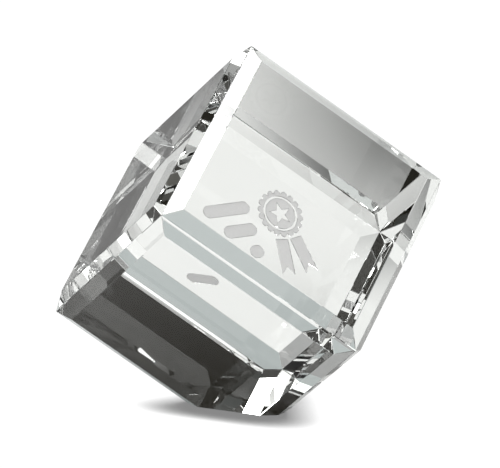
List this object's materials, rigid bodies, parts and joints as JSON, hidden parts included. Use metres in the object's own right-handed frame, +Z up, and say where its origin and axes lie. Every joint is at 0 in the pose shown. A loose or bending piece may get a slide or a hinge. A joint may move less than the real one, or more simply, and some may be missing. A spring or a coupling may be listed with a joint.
{
  "type": "crystal award",
  "caption": "Clear optical-crystal cube with faceted edges, standing on a cut-off corner, with a shallow etched rosette and plain bars on its front faces.",
  "frame": {"origin": "centre of the flat base facet, where the cut-off corner was", "axes": "+Z up along the cube's long diagonal; -Y towards the face that carries the rosette; X across the award. The block is symmetric about X = 0, and the etched marks are not."},
  "size_m": [0.1058, 0.1222, 0.1165],
  "materials": {
    "crystal": "polished clear optical crystal, colourless, with sharp polished facets",
    "etched_frost": "matt frosted etching, light grey"
  },
  "bodies": {
    "root": {"crystal_block": "crystal", "etched_bar_1": "etched_frost", "etched_bar_2": "etched_frost", "etched_bar_3": "etched_frost", "etched_bar_4": "etched_frost", "etched_rosette_rim": "etched_frost", "etched_rosette_disc": "etched_frost", "etched_ribbon_tail_left": "etched_frost", "etched_ribbon_tail_right": "etched_frost"}
  },
  "joints": []
}
